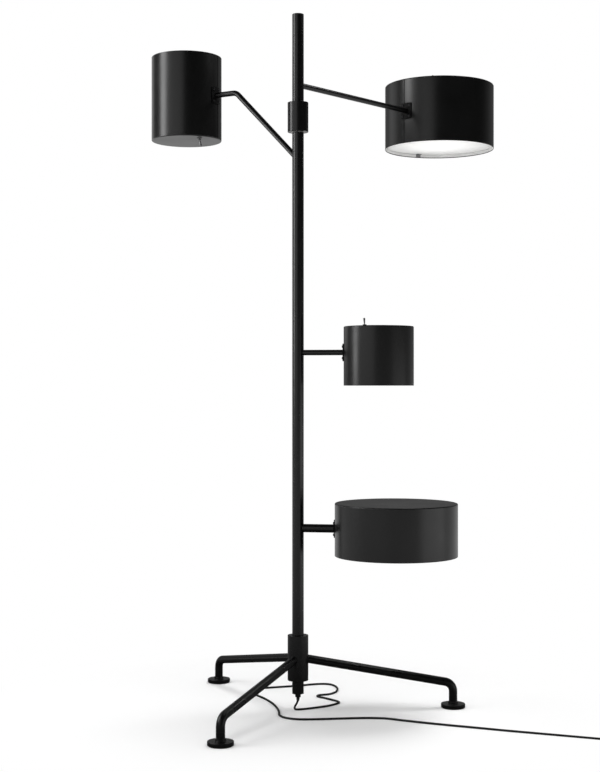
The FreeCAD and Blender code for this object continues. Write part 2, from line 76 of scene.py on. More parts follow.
def turnedSet(name, profile, places, steps):
    # revolves (radius, height) rows about each place's Z; a third item makes a row hexagonal
    points, faces = [], []
    for place in places:
        start = len(points)
        for radius, height, *sixSided in profile:
            for step in range(steps):
                angle = 2 * math.pi * step / steps
                reach = radius
                if sixSided:
                    reach = radius / math.cos((angle + math.pi / 6) % (math.pi / 3) - math.pi / 6)
                spot = Vector((reach * math.cos(angle), reach * math.sin(angle), height))
                points.append(place @ spot)
        for row in range(len(profile) - 1):
            below = start + row * steps
            for step in range(steps):
                after = (step + 1) % steps
                faces.append((below + step, below + after, below + steps + after,
                              below + steps + step))
    return addMesh(name, points, faces)


def turned(name, profile, place, steps):
    return turnedSet(name, profile, [place], steps)


def pieceName(node):
    first, *rest = node.split("_")
    return first + "".join(word.capitalize() for word in rest)


def placed(piece, body, slot, *replaced):
    # hands a finished piece to its body and hides the plain nodes that it stands for
    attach(piece, body)
    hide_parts(*replaced)


def rounded(thing, width, segments):
    # softens the edges of a mesh with a bevel
    bevel = thing.modifiers.new("edge", "BEVEL")
    bevel.width = width
    bevel.segments = segments
    bevel.limit_method = "ANGLE"
    bevel.angle_limit = math.radians(35)
    bevel.harden_normals = True


def thickened(thing, thickness, offset):
    # gives a sheet its thickness
    sheet = thing.modifiers.new("sheet", "SOLIDIFY")
    sheet.thickness = thickness
    sheet.offset = offset


# powder coats: base colour, roughness, grain per metre, strength of its relief, and shine
coats = {
    "poleCoat": {"colour": 0.0016, "roughness": 0.28, "grain": 900.0, "lift": 0.002, "shine": 0.5},
    "shadeCoat": {"colour": 0.0016, "roughness": 0.30, "grain": 1100.0, "lift": 0.008,
                  "shine": 0.5},
    "seamShadow": {"colour": 0.0005, "roughness": 0.80, "grain": 1000.0, "lift": 0.02,
                   "shine": 0.0},
    # the bracket's coat is the drum's black coat made darker and duller: painted shade on the
    # bracket
    "bracketCoat": {"colour": 0.0008, "roughness": 0.50, "grain": 1000.0, "lift": 0.02,
                    "shine": 0.16},
}
coatSet = {"cloud": 14.0, "deeper": 0.85, "paler": 1.15, "cooler": 1.2, "patches": 9.0,
           "smoother": 0.02, "rougher": 0.03, "grainDetail": 2.0, "relief": 0.0004}

# plastics, rubber and frosted glass: two tones, roughness, grain per metre, strength of its relief
plastics = {
    "innerWhite": {"dark": (0.78, 0.78, 0.77), "light": (0.84, 0.84, 0.83), "roughness": 0.5,
                   "grain": 1200.0, "lift": 0.04},
    "cordSheath": {"dark": (0.004, 0.004, 0.004), "light": (0.006, 0.006, 0.006),
                   "roughness": 0.5, "grain": 1600.0, "lift": 0.05},
    "mouldedBlack": {"dark": (0.004, 0.004, 0.004), "light": (0.007, 0.007, 0.007),
                     "roughness": 0.5, "grain": 1800.0, "lift": 0.08},
    "rubberBlack": {"dark": (0.02, 0.02, 0.02), "light": (0.035, 0.035, 0.034),
                    "roughness": 0.8, "grain": 700.0, "lift": 0.2},
    "holderWhite": {"dark": (0.72, 0.72, 0.7), "light": (0.8, 0.8, 0.78), "roughness": 0.4,
                    "grain": 900.0, "lift": 0.04},
    "nylon": {"dark": (0.74, 0.73, 0.69), "light": (0.82, 0.81, 0.77), "roughness": 0.5,
              "grain": 900.0, "lift": 0.05},
    "frostedBulb": {"dark": (0.88, 0.88, 0.86), "light": (0.94, 0.94, 0.92), "roughness": 0.5,
                    "grain": 1400.0, "lift": 0.03},
}
plasticSet = {"cloud": 30.0, "relief": 0.0003}

# bare and plated metals: colour, roughness, streaks per metre
metals = {
    "nickel": {"colour": (0.62, 0.61, 0.59), "roughness": 0.25, "streaks": 120.0},
    "gunMetal": {"colour": (0.22, 0.22, 0.22), "roughness": 0.30, "streaks": 150.0},
    "springSteel": {"colour": (0.55, 0.55, 0.56), "roughness": 0.35, "streaks": 200.0},
    "blackOxide": {"colour": (0.05, 0.05, 0.052), "roughness": 0.38, "streaks": 300.0},
}
metalSet = {"cloud": 60.0, "deeper": 0.9, "smoother": 0.06, "rougher": 0.08}


def newMaterial(name):
    material = bpy.data.materials.new(name)
    material.use_nodes = True
    tree = material.node_tree
    return material, tree, tree.nodes["Principled BSDF"]


def addNode(tree, kind, **settings):
    node = tree.nodes.new(kind)
    for name, value in settings.items():
        if name in node.inputs:
            node.inputs[name].default_value = value
        else:
            setattr(node, name, value)
    return node


def objectPlace(tree):
    return addNode(tree, "ShaderNodeTexCoord").outputs["Object"]


def noise(tree, scale, detail=3.0):
    texture = addNode(tree, "ShaderNodeTexNoise", Scale=scale, Detail=detail)
    tree.links.new(objectPlace(tree), texture.inputs["Vector"])
    return texture.outputs["Fac"]


def ramp(tree, value, ends, **settings):
    # maps value from between the first two ends to between the last two
    change = addNode(tree, "ShaderNodeMapRange", **settings)
    for socket, number in zip(("From Min", "From Max", "To Min", "To Max"), ends):
        change.inputs[socket].default_value = number
    tree.links.new(value, change.inputs["Value"])
    return change.outputs["Result"]


def spread(tree, value, low, high):
    # noise seldom leaves this middle range
    return ramp(tree, value, (0.3, 0.7, low, high))


def blended(tree, share, first, second):
    mix = addNode(tree, "ShaderNodeMixShader")
    tree.links.new(share, mix.inputs["Fac"])
    tree.links.new(first, mix.inputs[1])
    tree.links.new(second, mix.inputs[2])
    return mix.outputs[0]


def either(tree, first, second):
    larger = addNode(tree, "ShaderNodeMath", operation="MAXIMUM")
    tree.links.new(first, larger.inputs[0])
    tree.links.new(second, larger.inputs[1])
    return larger.outputs[0]


def relief(tree, shader, value, strength, distance):
    bump = addNode(tree, "ShaderNodeBump", Strength=strength, Distance=distance)
    tree.links.new(value, bump.inputs["Height"])
    tree.links.new(bump.outputs["Normal"], shader.inputs["Normal"])


def tint(tree, shader, value, dark, light):
    mix = addNode(tree, "ShaderNodeMix", data_type="RGBA")
    mix.inputs["A"].default_value = (*dark, 1)
    mix.inputs["B"].default_value = (*light, 1)
    tree.links.new(value, mix.inputs["Factor"])
    tree.links.new(mix.outputs["Result"], shader.inputs["Base Color"])


def powderCoat(name):
    look = coats[name]
    base, roughness = look["colour"], look["roughness"]
    material, tree, shader = newMaterial(name)
    tint(tree, shader, spread(tree, noise(tree, coatSet["cloud"]), 0, 1),
         [base * coatSet["deeper"]] * 3,
         [base * coatSet["paler"], base * coatSet["paler"], base * coatSet["cooler"]])
    patches = spread(tree, noise(tree, coatSet["patches"]), roughness - coatSet["smoother"],
                     roughness + coatSet["rougher"])
    tree.links.new(patches, shader.inputs["Roughness"])
    shader.inputs["Specular IOR Level"].default_value = look["shine"]
    grain = noise(tree, look["grain"], coatSet["grainDetail"])
    relief(tree, shader, grain, look["lift"], coatSet["relief"])
    return material


def plainPlastic(name):
    look = plastics[name]
    material, tree, shader = newMaterial(name)
    tint(tree, shader, spread(tree, noise(tree, plasticSet["cloud"]), 0, 1), look["dark"],
         look["light"])
    shader.inputs["Roughness"].default_value = look["roughness"]
    relief(tree, shader, noise(tree, look["grain"]), look["lift"], plasticSet["relief"])
    return material


def brightMetal(name):
    look = metals[name]
    colour, roughness = look["colour"], look["roughness"]
    material, tree, shader = newMaterial(name)
    shader.inputs["Metallic"].default_value = 1
    tint(tree, shader, spread(tree, noise(tree, metalSet["cloud"]), 0, 1),
         [part * metalSet["deeper"] for part in colour], colour)
    streaks = spread(tree, noise(tree, look["streaks"]), roughness - metalSet["smoother"],
                     roughness + metalSet["rougher"])
    tree.links.new(streaks, shader.inputs["Roughness"])
    return material


coat = powderCoat("poleCoat")
shadeCoat = powderCoat("shadeCoat")
bracketCoat = powderCoat("bracketCoat")
seamShadow = powderCoat("seamShadow")
innerWhite = plainPlastic("innerWhite")
cordSheath = plainPlastic("cordSheath")
mouldedBlack = plainPlastic("mouldedBlack")
rubberBlack = plainPlastic("rubberBlack")
holderWhite = plainPlastic("holderWhite")
nylon = plainPlastic("nylon")
frostedBulb = plainPlastic("frostedBulb")
nickel = brightMetal("nickel")
gunMetal = brightMetal("gunMetal")
springSteel = brightMetal("springSteel")
blackOxide = brightMetal("blackOxide")
print("materials ready:", len(bpy.data.materials))

nodeFinishes = {
    "leg_": coat, "hub": coat, "lower_pole": coat, "upper_pole": coat, "pole_cap": coat,
    "collar": coat, "arm_": coat, "foot_discs": coat, "foot_pads": rubberBlack,
    "hub_set_screw": blackOxide, "collar_set_screw": blackOxide, "collar_bush": nylon,
    "thrust_washer": nylon, "cable_gland": mouldedBlack, "supply_lead": cordSheath,
    "terminal_block": holderWhite, "shell_": shadeCoat, "end_plate_": shadeCoat,
    "bracket_": bracketCoat, "bracket_screws": blackOxide, "lampholder_": holderWhite,
    "bulb_": frostedBulb, "diffuser_": innerWhite, "diffuser_clips": springSteel,
    "switch_": mouldedBlack, "switch_lever": nickel, "switch_nut": nickel,
    "cord_": cordSheath, "plug": mouldedBlack,
}


def dressNodes():
    # the longest matching name wins, so bracket_screws isn't taken for a bracket
    for name, thing in nodes.items():
        start = max((key for key in nodeFinishes if name.startswith(key)), key=len)
        material = nodeFinishes[start]
        if not thing.material_slots:
            thing.data.materials.append(material)
        for index in range(len(thing.material_slots)):
            thing.material_slots[index].material = material


dressNodes()
print("nodes dressed")

# Each shade is laid out from its closed end, with z into the shade and x away from the pole.
shades = {
    "tall": {"body": "stand", "radius": 0.105, "length": 0.250, "reach": 0.3875, "heading": 146.5,
             "arm": 1.796, "hang": 0.128, "closedUp": False, "switchAt": 0.0706},
    "wide": {"body": "upper_mast", "radius": 0.175, "length": 0.203, "reach": 0.686,
             "heading": 44.6, "arm": 1.797, "hang": 0.100, "closedUp": True, "switchAt": 0.0706},
    "small": {"body": "stand", "radius": 0.100, "length": 0.169, "reach": 0.2326,
              "heading": -11.6, "arm": 1.027, "hang": 0.095, "closedUp": True, "switchAt": 0.042},
    "low": {"body": "stand", "radius": 0.175, "length": 0.150, "reach": 0.2827, "heading": -12.1,
            "arm": 0.5225, "hang": 0.075, "closedUp": True, "switchAt": None},
}


def closedEnd(name):
    shade = shades[name]
    place = spun("Z", shade["heading"]) @ moved(shade["reach"], 0, shade["arm"] - shade["hang"])
    if shade["closedUp"]:
        place = place @ moved(z=shade["length"]) @ spun("X", 180)
    return place


def armLevel(name):
    shade = shades[name]
    return shade["length"] - shade["hang"] if shade["closedUp"] else shade["hang"]


# rolled drum with a rounded lip, a lapped seam beside the bracket and a white inside that
# stops short of the lip
shellSet = {"wall": 0.0012, "foot": 0.0033, "support": 0.0004, "steps": 144, "lipSteps": 6,
            "seamAside": 0.009, "seamDepth": 0.0009, "seamHalf": 0.0013, "seamClear": 0.0030,
            "seamRoom": 1.5, "blackBand": 0.0025}


def drumShell(name):
    shade = shades[name]
    radius, length = shade["radius"], shade["length"]
    wall, half, foot = shellSet["wall"], shellSet["wall"] / 2, shellSet["foot"]
    support, whiteEnd = shellSet["support"], length - shellSet["blackBand"]
    rows = [(0.0, foot), (0.0, foot + support), (0.0, length - half - support)]
    for step in range(shellSet["lipSteps"] + 1):
        angle = math.pi * step / shellSet["lipSteps"]
        rows.append((half - half * math.cos(angle), length - half + half * math.sin(angle)))
    rows += [(wall, length - half - support), (wall, whiteEnd), (wall, foot + support),
             (wall, foot)]
    seam = math.pi + shellSet["seamAside"] / radius
    clear = shellSet["seamClear"]
    angles = [2 * math.pi * step / shellSet["steps"] for step in range(shellSet["steps"])]
    room = shellSet["seamRoom"] * clear
    columns = [(angle, 0.0) for angle in angles if abs(angle - seam) * radius > room]
    columns.append((seam, shellSet["seamDepth"]))
    for away in (shellSet["seamHalf"], clear):
        columns += [(seam - away / radius, 0.0), (seam + away / radius, 0.0)]
    columns.sort()
    place = closedEnd(name)
    points, faces, skins = [], [], []
    for depth, height in rows:
        for angle, dent in columns:
            reach = radius - (max(depth, dent) if depth < half else depth)
            points.append(place @ Vector((reach * math.cos(angle), reach * math.sin(angle), height)))
    for row in range(len(rows)):
        after = (row + 1) % len(rows)
        for column in range(len(columns)):
            beside = (column + 1) % len(columns)
            faces.append((row * len(columns) + column, row * len(columns) + beside,
                          after * len(columns) + beside, after * len(columns) + column))
            farthest = max(rows[row][1], rows[after][1])
            inside = rows[row][0] >= wall and farthest <= whiteEnd
            groove = columns[column][1] + columns[beside][1] > 0
            skins.append(1 if inside else 2 if groove else 0)
    shell = addMesh(f"{name}Drum", points, faces)
    shell.data.materials.append(shadeCoat)
    shell.data.materials.append(innerWhite)
    shell.data.materials.append(seamShadow)
    for face, skin in zip(shell.data.polygons, skins):
        face.material_index = skin
    placed(shell, shade["body"], "shade_aluminium", f"shell_{name}")


# spun cap with a rounded shoulder and a lip that slips into the drum
capSet = {"shoulder": 0.003, "land": 0.0001, "flatEnd": 0.0006, "ring": 0.6, "step": 0.0013,
          "lip": 0.010, "steps": 160, "shoulderSteps": 9}


def endCap(name):
    radius, corner = shades[name]["radius"], capSet["shoulder"]
    profile = [(core, 0.0), (radius * capSet["ring"], 0.0),
               (radius - corner - capSet["flatEnd"], 0.0)]
    profile += arc((radius - corner, corner), corner, -90, 0, capSet["shoulderSteps"])
    profile += [(radius, corner + capSet["land"]),
                (radius - capSet["step"], corner + 2 * capSet["land"]),
                (radius - capSet["step"], corner + capSet["lip"])]
    cap = turned(f"{name}Cap", profile, closedEnd(name), capSet["steps"])
    cap.data.materials.append(shadeCoat)
    placed(cap, shades[name]["body"], "shade_aluminium", f"end_plate_{name}")


# folded bracket: a flat at the arm and two wings that rest on the drum
bracketSet = {"height": 0.050, "width": 0.040, "thickness": 0.002, "flat": 0.010,
              "standoff": 0.0016, "seat": 0.0001, "bend": 0.003, "bendSteps": 5, "corner": 0.004,
              "cornerSteps": (0.0, 0.0004, 0.0010, 0.0020, 0.0040, 0.0070), "edge": 0.0003}


def bracketFold(name):
    radius, half = shades[name]["radius"], bracketSet["width"] / 2
    fold = Vector((-(radius + bracketSet["standoff"]), bracketSet["flat"] / 2, 0))
    tip = Vector((-math.sqrt(radius**2 - half**2) - bracketSet["seat"], half, 0))
    return fold, tip


def bracketPlate(name):
    fold, tip = bracketFold(name)
    along = (fold - tip).normalized()
    corner, tall = bracketSet["corner"], bracketSet["height"] / 2
    path = []
    for reach in bracketSet["cornerSteps"]:
        cut = corner - math.sqrt(corner**2 - (corner - reach) ** 2) if reach < corner else 0.0
        path.append((tip + along * reach, tall - cut))
    first = fold - along * bracketSet["bend"]
    last = fold + Vector((0, -bracketSet["bend"], 0))
    for step in range(bracketSet["bendSteps"] + 1):
        share = step / bracketSet["bendSteps"]
        spot = first * (1 - share) ** 2 + fold * 2 * share * (1 - share) + last * share**2
        path.append((spot, tall))
    path += [(Vector((spot.x, -spot.y, 0)), height) for spot, height in reversed(path)]
    place = closedEnd(name) @ moved(z=armLevel(name))
    points = [place @ (spot + Vector((0, 0, side * height)))
              for side in (-1, 1) for spot, height in path]
    count = len(path)
    faces = [(step, step + 1, count + step + 1, count + step) for step in range(count - 1)]
    plate = addMesh(f"{name}Bracket", points, faces)
    thickened(plate, bracketSet["thickness"], 1.0)
    rounded(plate, bracketSet["edge"], 2)
    # the bracket takes the darker, duller coat, painted shade over its own black
    plate.data.materials.append(bracketCoat)
    placed(plate, shades[name]["body"], "shade_aluminium", f"bracket_{name}")


# button-head screws with a hexagon socket
screwSet = {"across": 0.024, "upright": 0.033, "head": 0.004, "rise": 0.0026, "shank": 0.002,
            "length": 0.007, "tipEdge": 0.0004, "skirt": 0.0005, "skirtEdge": 0.0002,
            "dome": 62, "domeSteps": 7, "socket": 0.00125, "socketDepth": 0.0014,
            "socketEdge": 0.0001, "steps": 24}


def screwProfile():
    head, rise, skirt = screwSet["head"], screwSet["rise"], screwSet["skirt"]
    length, shank, edge = screwSet["length"], screwSet["shank"], screwSet["skirtEdge"]
    profile = [(core, -length), (shank - screwSet["tipEdge"], -length),
               (shank, -length + screwSet["tipEdge"]), (shank, 0.0), (head - edge, 0.0),
               (head, edge), (head, skirt)]
    dome = math.radians(screwSet["dome"])
    for step in range(1, screwSet["domeSteps"] + 1):
        angle = dome * step / screwSet["domeSteps"]
        profile.append((head * math.cos(angle),
                        skirt + (rise - skirt) * math.sin(angle) / math.sin(dome)))
    socket, floor = screwSet["socket"], rise - screwSet["socketDepth"]
    return profile + [(socket, rise - screwSet["socketEdge"], True), (socket, floor, True),
                      (core, floor)]


def screwPlaces(name):
    fold, tip = bracketFold(name)
    slope = math.degrees(math.atan2(tip.x - fold.x, tip.y - fold.y))
    share = (screwSet["across"] / 2 - fold.y) / (tip.y - fold.y)
    seat = fold.lerp(tip, share)
    places = []
    for side in (1, -1):
        for level in (1, -1):
            spot = moved(seat.x, side * seat.y, armLevel(name) + level * screwSet["upright"] / 2)
            lean = spun("Z", -side * slope) @ spun("Y", -90) @ moved(z=bracketSet["thickness"])
            places.append(closedEnd(name) @ spot @ lean)
    return places


def bracketScrews(node, body, names):
    places = [place for name in names for place in screwPlaces(name)]
    screws = turnedSet(pieceName(node), screwProfile(), places, screwSet["steps"])
    screws.data.materials.append(blackOxide)
    placed(screws, body, "dark_screws", node)


# flush set screws of the hub and the collar
grubSet = {"heading": 60.0, "radius": 0.0025, "tip": 0.0168, "face": 0.0290, "point": 0.0005,
           "pointRise": 0.0006, "edge": 0.0003, "socket": 0.00125, "socketDepth": 0.0022,
           "steps": 24, "hubHeight": 0.190, "collarHeight": 1.680}


def grubScrew(node, body, height):
    radius, length, edge = grubSet["radius"], grubSet["face"] - grubSet["tip"], grubSet["edge"]
    socket, floor = grubSet["socket"], length - grubSet["socketDepth"]
    profile = [(core, 0.0), (radius - grubSet["point"], 0.0), (radius, grubSet["pointRise"]),
               (radius, length - edge), (radius - edge, length), (socket + edge, length),
               (socket, length - edge, True), (socket, floor, True), (core, floor)]
    place = spun("Z", grubSet["heading"]) @ moved(grubSet["tip"], 0, height) @ spun("Y", 90)
    screw = turned(pieceName(node), profile, place, grubSet["steps"])
    screw.data.materials.append(blackOxide)
    placed(screw, body, "dark_screws", node)


# opal disc just inside the open end; it glows most under the bulb and less toward the rim
opalSet = {"gap": 0.0030, "recess": 0.012, "thickness": 0.003, "edge": 0.0006, "edgeSteps": 4,
           "ring": 0.5, "steps": 144,
           "dark": (0.93, 0.93, 0.91), "light": (0.97, 0.97, 0.96), "cloud": 12.0,
           "roughness": 0.45, "glowColour": (1.0, 0.995, 0.98, 1), "glow": 0.36,
           "glowFrom": 0.3, "glowTo": 1.02, "grain": 1500.0, "lift": 0.05, "relief": 0.0002}


def opalMaterial(name):
    material, tree, shader = newMaterial(f"{name}Opal")
    tint(tree, shader, spread(tree, noise(tree, opalSet["cloud"]), 0, 1), opalSet["dark"],
         opalSet["light"])
    shader.inputs["Roughness"].default_value = opalSet["roughness"]
    shader.inputs["Emission Color"].default_value = opalSet["glowColour"]
    offset = addNode(tree, "ShaderNodeVectorMath", operation="SUBTRACT")
    tree.links.new(objectPlace(tree), offset.inputs[0])
    offset.inputs[1].default_value = closedEnd(name).translation
    level = addNode(tree, "ShaderNodeVectorMath", operation="MULTIPLY")
    tree.links.new(offset.outputs[0], level.inputs[0])
    level.inputs[1].default_value = (1.0, 1.0, 0.0)
    away = addNode(tree, "ShaderNodeVectorMath", operation="LENGTH")
    tree.links.new(level.outputs[0], away.inputs[0])
    radius = shades[name]["radius"]
    ends = (radius * opalSet["glowFrom"], radius * opalSet["glowTo"], opalSet["glow"], 0.0)
    glow = ramp(tree, away.outputs["Value"], ends, interpolation_type="SMOOTHSTEP")
    tree.links.new(glow, shader.inputs["Emission Strength"])
    relief(tree, shader, noise(tree, opalSet["grain"]), opalSet["lift"], opalSet["relief"])
    return material


def opalDisc(name):
    shade = shades[name]
    radius = shade["radius"] - opalSet["gap"]
    outer = shade["length"] - opalSet["recess"]
    inner, edge, steps = outer - opalSet["thickness"], opalSet["edge"], opalSet["edgeSteps"]
    profile = [(core, inner), (radius - edge, inner)]
    profile += arc((radius - edge, inner + edge), edge, -90, 0, steps)
    profile += arc((radius - edge, outer - edge), edge, 0, 90, steps)
    profile += [(radius * opalSet["ring"], outer), (core, outer)]
    disc = turned(f"{name}Opal", profile, closedEnd(name), opalSet["steps"])
    disc.data.materials.append(opalMaterial(name))
    placed(disc, shade["body"], "frosted_diffuser", f"diffuser_{name}")


# bent strips that hold the opal disc
clipSet = {"count": 3, "half": 0.008, "strip": 0.0008, "wallGap": 0.0002, "foot": 0.0025,
           "lip": 0.013, "lipStart": 0.8, "turnUp": 0.0010, "bend": 0.0012, "bendMiddle": 0.3,
           "edge": 0.00015}


def diffuserClips(node, body, names):
    points, faces = [], []
    for name in names:
        shade = shades[name]
        wall = shade["radius"] - shellSet["wall"] - clipSet["wallGap"]
        outer = shade["length"] - opalSet["recess"] + clipSet["strip"]
        bend, middle = clipSet["bend"], clipSet["bend"] * clipSet["bendMiddle"]
        path = [(wall, shade["length"] - clipSet["foot"]), (wall, outer + bend),
                (wall - middle, outer + middle), (wall - bend, outer),
                (wall - clipSet["lip"] * clipSet["lipStart"], outer),
                (wall - clipSet["lip"], outer + clipSet["turnUp"])]
        for number in range(clipSet["count"]):
            place = closedEnd(name) @ spun("Z", 180 + 360 / clipSet["count"] * number)
            start = len(points)
            for reach, height in path:
                for side in (-1, 1):
                    points.append(place @ Vector((reach, side * clipSet["half"], height)))
            for step in range(len(path) - 1):
                corner = start + 2 * step
                faces.append((corner, corner + 1, corner + 3, corner + 2))
    clips = addMesh(pieceName(node), points, faces)
    thickened(clips, clipSet["strip"], 0.0)
    rounded(clips, clipSet["edge"], 2)
    clips.data.materials.append(gunMetal)
    placed(clips, body, "spring_steel", node)


# toggle switch in the closed end: a ridged bush and the case behind it
switchSet = {"turn": 157.4, "bush": 0.00575, "root": 0.0053, "pitch": 0.00075, "drop": 0.0055,
             "foot": -0.001, "bore": 0.0034, "rootEdge": 0.0003, "boreEdge": 0.0005, "steps": 48,
             "case": (0.019, 0.013, 0.016), "caseTop": -0.0035, "caseEdge": 0.0012}


def switchPlace(name):
    # z points out of the closed end
    place = closedEnd(name) @ spun("Z", switchSet["turn"]) @ moved(shades[name]["switchAt"])
    return place @ spun("X", 180)


def switchBush(name):
    pitch, drop, foot = switchSet["pitch"], switchSet["drop"], switchSet["foot"]
    root, bore, edge = switchSet["root"], switchSet["bore"], switchSet["boreEdge"]
    profile = [(root, foot)]
    for step in range(int(drop / pitch) * 2):
        profile.append((switchSet["bush"] if step % 2 else root, step * pitch / 2))
    profile += [(root - switchSet["rootEdge"], drop), (bore + edge, drop), (bore, drop - edge),
                (bore, foot), (core, foot)]
    bush = turned(f"{name}SwitchBush", profile, switchPlace(name), switchSet["steps"])
    bush.data.materials.append(gunMetal)
    placed(bush, shades[name]["body"], "switch_plastic", f"switch_{name}")


def switchCase(name):
    wide, deep, high = switchSet["case"]
    low = switchSet["caseTop"]
    corners = [(x * wide / 2, y * deep / 2, z) for z in (low - high, low)
               for x, y in ((-1, -1), (1, -1), (1, 1), (-1, 1))]
    faces = [(3, 2, 1, 0), (4, 5, 6, 7), (0, 1, 5, 4), (1, 2, 6, 5), (2, 3, 7, 6), (3, 0, 4, 7)]
    points = [switchPlace(name) @ Vector(corner) for corner in corners]
    case = addMesh(f"{name}SwitchCase", points, faces)
    rounded(case, switchSet["caseEdge"], 3)
    case.data.materials.append(mouldedBlack)
    placed(case, shades[name]["body"], "switch_plastic", f"switch_{name}")


# hexagon nut with a turned crown
nutSet = {"half": 0.0075, "rise": 0.0025, "chamfer": 0.0004, "crown": 0.96, "boreEdge": 0.0003,
          "steps": 48}


def switchNuts(node, body, names):
    half, rise = nutSet["half"], nutSet["rise"]
    bore, edge = switchSet["bush"], nutSet["boreEdge"]
    profile = [(half, 0.0, True), (half, rise - nutSet["chamfer"], True),
               (half * nutSet["crown"], rise), (bore + edge, rise), (bore, rise - edge)]
    places = [switchPlace(name) for name in names]
    nuts = turnedSet(pieceName(node), profile, places, nutSet["steps"])
    nuts.data.materials.append(gunMetal)
    placed(nuts, body, "nickel", node)


# bat lever: slim at the neck, swelling to a round tip
leverSet = {"tilt": 12.0, "pivot": 0.0015, "length": 0.020, "neck": 0.0015, "tip": 0.0032,
            "root": [(core, -0.0015), (0.0012, -0.0010)], "swell": 1.3, "swellSteps": 8,
            "tipFrom": 12, "tipTo": 88, "tipSteps": 6, "steps": 32}


def switchLever(name):
    length, neck, tip = leverSet["length"], leverSet["neck"], leverSet["tip"]
    profile = leverSet["root"] + [(neck, 0.0)]
    for step in range(1, leverSet["swellSteps"] + 1):
        share = step / leverSet["swellSteps"]
        profile.append((neck + (tip - neck) * share ** leverSet["swell"], length * share))
    profile += arc((0.0, length), tip, leverSet["tipFrom"], leverSet["tipTo"],
                   leverSet["tipSteps"])
    place = switchPlace(name) @ moved(z=leverSet["pivot"]) @ spun("X", leverSet["tilt"])
    lever = turned(f"{name}Lever", profile, place, leverSet["steps"])
    lever.data.materials.append(gunMetal)
    placed(lever, f"lever_{name}", "nickel", f"switch_lever_{name}")


for shadeName in shades:
    drumShell(shadeName)
    endCap(shadeName)
    bracketPlate(shadeName)
    opalDisc(shadeName)
    if shades[shadeName]["switchAt"]:
        switchBush(shadeName)
        switchCase(shadeName)
        switchLever(shadeName)
bracketScrews("bracket_screws_lower", "stand", ("tall", "small", "low"))
bracketScrews("bracket_screws_upper", "upper_mast", ("wide",))
diffuserClips("diffuser_clips_lower", "stand", ("tall", "small", "low"))
diffuserClips("diffuser_clips_upper", "upper_mast", ("wide",))
switchNuts("switch_nuts_lower", "stand", ("tall", "small"))
switchNuts("switch_nut_upper", "upper_mast", ("wide",))
print("shades built:", ", ".join(shades))

grubScrew("hub_set_screw", "stand", grubSet["hubHeight"])
grubScrew("collar_set_screw", "stand", grubSet["collarHeight"])

# foot: a disc with softened edges and a low boss round the leg
footSet = {"count": 3, "spread": 0.450, "radius": 0.035, "low": 0.002, "top": 0.012,
           "edge": 0.0014, "hole": 0.012, "underEdge": 0.0005, "underFlat": 0.0008,
           "boss": 0.0145, "bossTop": 0.018, "bossEdge": 0.0008, "leg": 0.0121,
           "legDepth": 0.002, "fillet": 0.0012, "filletEnd": 0.0005, "steps": 96}


def footDiscs():
    radius, edge, top = footSet["radius"], footSet["edge"], footSet["top"]
    boss, fillet, bossTop = footSet["boss"], footSet["fillet"], footSet["bossTop"]
    low, under, bossEdge = footSet["low"], footSet["underEdge"], footSet["bossEdge"]
    profile = [(footSet["hole"], low), (radius - footSet["underFlat"], low)]
    profile += arc((radius - under, low + under), under, -90, 0, 3)
    profile += arc((radius - edge, top - edge), edge, 0, 90, 6)
    profile += [(boss + fillet + footSet["filletEnd"], top)]
    profile += arc((boss + fillet, top + fillet), fillet, 270, 180, 5)
    profile += arc((boss - bossEdge, bossTop - bossEdge), bossEdge, 0, 90, 4)
    profile += [(footSet["leg"], bossTop), (footSet["leg"], bossTop - footSet["legDepth"])]
    places = [spun("Z", 360 / footSet["count"] * number) @ moved(footSet["spread"])
              for number in range(footSet["count"])]
    discs = turnedSet("footDiscs", profile, places, footSet["steps"])
    discs.data.materials.append(coat)
    placed(discs, "stand", "black_steel", "foot_discs")


footDiscs()

# cable gland under the pole with a ribbed, tapering cuff round the cord
glandSet = {"flange": 0.0167, "nut": 0.0080, "poleEnd": 0.047, "nutEnd": 0.0368, "tip": 0.0255,
            "cuff": 0.0054, "cuffTip": 0.0036, "bore": 0.0031, "ribs": 6, "ribRise": 0.0003,
            "ribDip": 0.0002, "edge": 0.0006, "neck": 0.0008, "under": 0.0002,
            "rimRise": 0.0004, "lap": 0.001, "steps": 64}


def cableGland():
    low, tip, end = glandSet["nutEnd"], glandSet["tip"], glandSet["poleEnd"]
    cuff, cuffTip = glandSet["cuff"], glandSet["cuffTip"]
    nut, flange, edge = glandSet["nut"], glandSet["flange"], glandSet["edge"]
    profile = [(glandSet["bore"], tip), (cuffTip, tip)]
    for step in range(2 * glandSet["ribs"]):
        share = (step + 0.5) / (2 * glandSet["ribs"])
        rib = glandSet["ribRise"] if step % 2 else -glandSet["ribDip"]
        profile.append((cuffTip + (cuff - cuffTip) * share + rib, tip + (low - tip) * share))
    profile += [(cuff, low), (nut - edge, low), (nut, low + edge), (nut, end - glandSet["neck"]),
                (nut + edge, end - glandSet["under"]), (flange - edge, end - glandSet["under"]),
                (flange, end + glandSet["rimRise"]),
                (flange - glandSet["lap"], end + glandSet["lap"])]
    gland = turned("cableGland", profile, moved(), glandSet["steps"])
    gland.data.materials.append(mouldedBlack)
    placed(gland, "stand", "gland_plastic", "cable_gland")
    return gland


gland = cableGland()
print("feet, gland and set screws built")

# level, a little under half the lamp's height, where the photograph was taken from; the focal
# length and the frame's height are in pixels of the photograph
cameraSet = {"distance": 4.03, "height": 0.931, "heading": 3.6, "aside": 0.0058, "focal": 1401.0,
             "frameHeight": 772.0, "sensor": 36.0}


